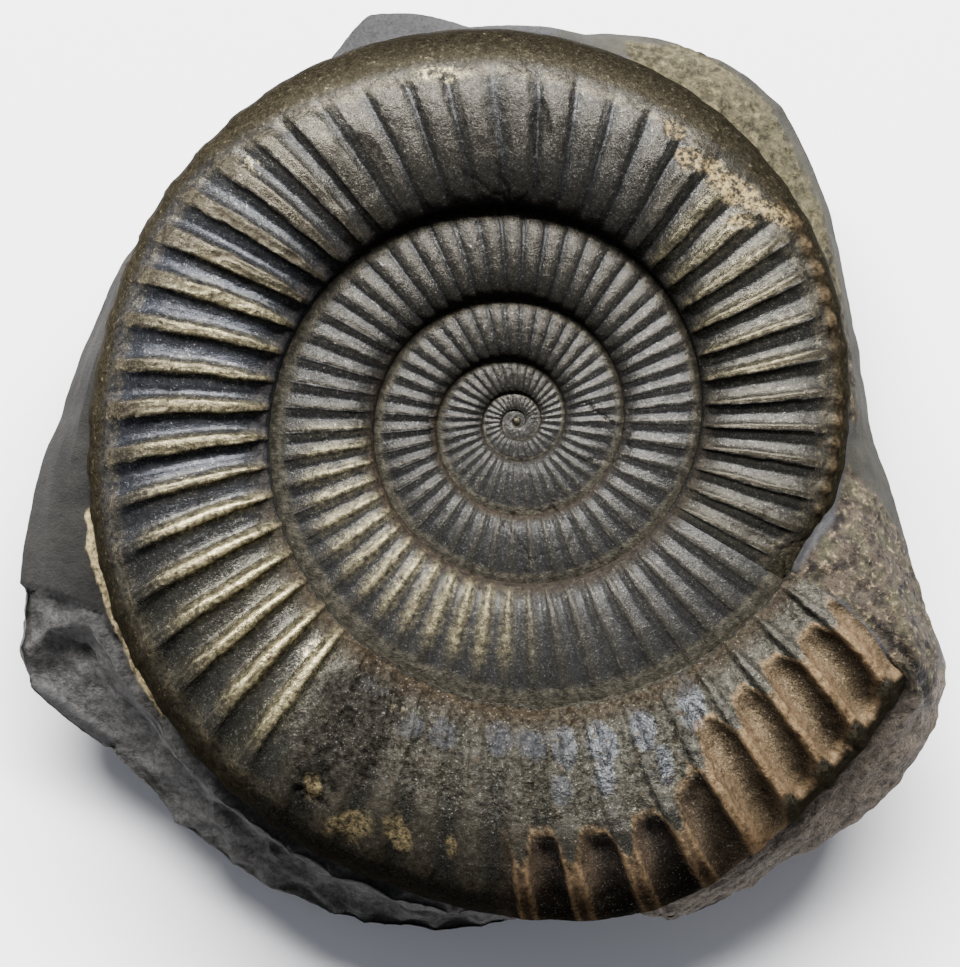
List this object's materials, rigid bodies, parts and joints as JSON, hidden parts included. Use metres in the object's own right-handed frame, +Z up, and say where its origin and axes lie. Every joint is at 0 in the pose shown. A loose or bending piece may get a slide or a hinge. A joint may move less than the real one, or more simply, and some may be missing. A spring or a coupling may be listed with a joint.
{
  "type": "ammonite fossil in its nodule",
  "caption": "Coiled, finely ribbed ammonite lying half freed in its flat grey stone nodule, resting on a flat underside.",
  "frame": {"origin": "where the coil's axis meets the resting plane", "axes": "+Z up out of the ribbed side, along the coil's axis; +X towards the right of the coil as seen from above, near the broken end of the last whorl"},
  "size_m": [0.0797, 0.0793, 0.0266],
  "materials": {
    "ammonite": "dark bronze-grey mineral with a dull metallic sheen, paler on the ribs",
    "matrix_stone": "matt dark grey shale with brown, sandy broken faces"
  },
  "bodies": {
    "root": {"ammonite": "ammonite", "matrix_stone": "matrix_stone"}
  },
  "joints": []
}
